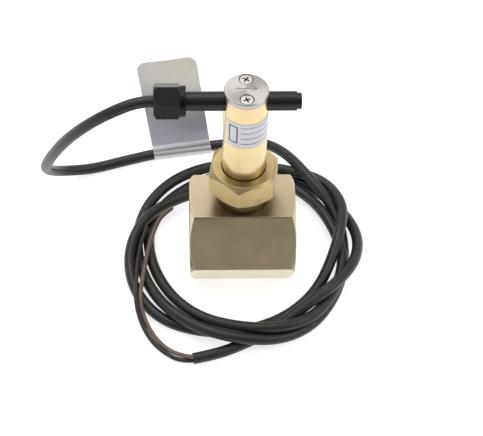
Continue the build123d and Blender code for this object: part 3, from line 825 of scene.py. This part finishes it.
block_brass = brass(
    "block_brass",
    ((0.62, 0.52, 0.33), (0.45, 0.35, 0.19), (0.86, 0.80, 0.60)),
    roughness=0.34,
    grain=(0.25, 5.0, 5.0),
    stain_and_shade=0.18,
    lathe=(0, (0, 0, BAR_AXIS)),
    tones=bar_tones,
    wear_from=WEAR_FROM,
)
nut_brass = brass(
    "nut_brass",
    ((0.66, 0.505, 0.26), (0.43, 0.315, 0.15), (0.82, 0.68, 0.44)),
    roughness=0.36,
    grain=(2.6, 2.6, 0.4),
    stain_and_shade=1.0,
    lathe=(2, (0, 0, 0)),
    contrast=0.5,
    tones=nut_tones,
)
tube_brass = brass(
    "tube_brass",
    ((0.745, 0.59, 0.335), (0.62, 0.47, 0.255), (0.95, 0.86, 0.62)),
    roughness=0.25,
    grain=(0.05, 0.05, 6.0),
    stain_and_shade=0.3,
    depth=0.12,
)
thread_brass = metal("thread_brass", (0.62, 0.53, 0.32), (0.42, 0.35, 0.19), 0.35, (6, 2, 2))
cap_steel = spun_steel()
screw_steel = metal("screw_steel", (0.62, 0.60, 0.56), (0.36, 0.35, 0.33), 0.3, (2, 2, 2))
stainless = metal("stainless", (0.62, 0.63, 0.64), (0.42, 0.43, 0.45), 0.32, (4, 4, 0.3))
magnet_steel = metal("magnet_steel", (0.45, 0.45, 0.47), (0.3, 0.3, 0.32), 0.25, (1, 1, 1))
reed_metal = metal("reed_metal", (0.6, 0.58, 0.52), (0.42, 0.4, 0.36), 0.25, (0.3, 5, 5))
copper = metal("copper_lead", (0.75, 0.42, 0.25), (0.5, 0.24, 0.12), 0.3, (1, 5, 5))
arrow_mark = metal("arrow_mark", (0.16, 0.14, 0.13), (0.08, 0.07, 0.065), 0.5, (3, 3, 3))
rod_plastic = plastic(
    "rod_plastic", (0.007, 0.007, 0.006), (0.02, 0.02, 0.018), 0.28, 5.0, 0.04, stretch=(0.2, 1, 1), specular=0.35
)
gland_plastic = plastic(
    "gland_plastic", (0.004, 0.0045, 0.0045), (0.013, 0.014, 0.013), 0.28, 5.0, 0.05, specular=0.2
)
bearing_plastic = plastic("bearing_plastic", (0.72, 0.7, 0.62), (0.85, 0.84, 0.8), 0.4)
dark_resin = plastic("dark_resin", (0.02, 0.02, 0.02), (0.05, 0.05, 0.05), 0.2, 0.6)
seal_rubber = plastic("seal_rubber", (0.02, 0.02, 0.02), (0.06, 0.06, 0.06), 0.6)
gasket_fibre = plastic("fibre_gasket", (0.05, 0.12, 0.08), (0.14, 0.2, 0.15), 0.75, 4.0, 0.6)
jacket = plastic("cable_jacket", (0.012, 0.013, 0.013), (0.05, 0.052, 0.05), 0.36, 2.2, 0.3, specular=0.38)
brown_skin = plastic("brown_skin", (0.15, 0.10, 0.08), (0.29, 0.21, 0.18), 0.34, 2.0, 0.25)
black_skin = plastic("black_skin", (0.02, 0.02, 0.022), (0.08, 0.08, 0.08), 0.36, 2.0, 0.25)
label_ink = plastic("label_ink", (0.10, 0.10, 0.105), (0.2, 0.2, 0.21), 0.5)
tag_film = foil("tag_film", (0.87, 0.865, 0.87), (0.76, 0.76, 0.78), 0.36, 0.7, (0.33, 0.33, 0.39))
label_foil = foil("label_foil", (0.60, 0.61, 0.64), (0.48, 0.49, 0.53), 0.38, 0.8)

COATS = (
    (block_brass, ("t_piece",)),
    (nut_brass, (union_nut, "union_nut")),
    (tube_brass, ("sensor_tube",)),
    (thread_brass, tuple(threads)),
    (cap_steel, ("clamp_cap",)),
    (screw_steel, ("cap_screws",)),
    (stainless, ("paddle_lever", "paddle_blade", "blade_rivets", "pivot_pin")),
    (magnet_steel, ("lever_magnet", "return_magnet")),
    (bearing_plastic, ("magnet_cup", "pin_bushes", "reed_sleeve")),
    (reed_metal, ("reed_blades",)),
    (copper, ("return_lead", brown_core, black_core)),
    (glass(), ("reed_capsule",)),
    (dark_resin, ("sealing_resin",)),
    (seal_rubber, ("gland_seal",)),
    (gasket_fibre, ("neck_gasket",)),
    (rod_plastic, ("reed_rod", "rod_plug")),
    (gland_plastic, ("gland_nut",)),
    (jacket, (cable, "cable_lead", "cable_coil", "cable_tail")),
    (brown_skin, (brown_wire, "wire_brown")),
    (black_skin, (black_wire, "wire_black")),
    (tag_film, (tag, "cable_tag")),
    (label_foil, (label,)),
    (label_ink, (label_rules,)),
    (arrow_mark, (flow_arrow,)),
)
for material, targets in COATS:
    for target in targets:
        data = (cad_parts[target] if isinstance(target, str) else target).data
        data.materials.clear()
        data.materials.append(material)

# Floor: pale card that keeps the shadow, lifted to white where it is seen
FLOOR_LIFT = 0.72
card = Paint("floor_card", 0.0, 0.9)
mottle = card.noise(card.stretched((0.02, 0.02, 0.02)), 1.0)
card.colour(card.blend(mottle, (0.60, 0.60, 0.60), (0.62, 0.62, 0.62)))
card.shader.inputs["Emission Color"].default_value = (1, 1, 1, 1)
ray = card.add("LightPath").outputs
seen = card.math("MAXIMUM", ray["Is Camera Ray"], ray["Is Glossy Ray"])
seen = card.math("MAXIMUM", seen, ray["Is Transmission Ray"])
card.join(card.math("MULTIPLY", seen, FLOOR_LIFT), card.shader.inputs["Emission Strength"])
floor_data.materials.append(card.material)

# World: bright studio with a darker side where the photographer stands
WORLD_LEVEL = 0.78
DARK_SIDE = Vector((0.04, -0.97, 0.22)).normalized()
DARK_LEVEL = 0.12
DARK_FROM = 0.55
DARK_FULL = 0.95
world = bpy.data.worlds.new("studio")
world.use_nodes = True
tree = world.node_tree
tree.nodes.clear()


def add_world(kind, **settings):
    node = tree.nodes.new("ShaderNode" + kind)
    for key, value in settings.items():
        setattr(node, key, value)
    return node


def join_world(source, target):
    tree.links.new(source, target)


world_output = add_world("OutputWorld")
sky = add_world("Background")
join_world(sky.outputs[0], world_output.inputs["Surface"])
direction = add_world("TexCoord")
nearness = add_world("VectorMath", operation="DOT_PRODUCT")
join_world(direction.outputs["Generated"], nearness.inputs[0])
nearness.inputs[1].default_value = DARK_SIDE
level = add_world("MapRange", interpolation_type="SMOOTHSTEP")
join_world(nearness.outputs["Value"], level.inputs["Value"])
level.inputs["From Min"].default_value = DARK_FROM
level.inputs["From Max"].default_value = DARK_FULL
level.inputs["To Min"].default_value = WORLD_LEVEL
level.inputs["To Max"].default_value = DARK_LEVEL
path = add_world("LightPath")
shown = add_world("Mix", data_type="FLOAT")
join_world(path.outputs["Is Camera Ray"], shown.inputs[0])
join_world(level.outputs[0], shown.inputs[2])
shown.inputs[3].default_value = 1.0
join_world(shown.outputs[0], sky.inputs["Strength"])
sky.inputs["Color"].default_value = (1, 1, 1, 1)
scene.world = world
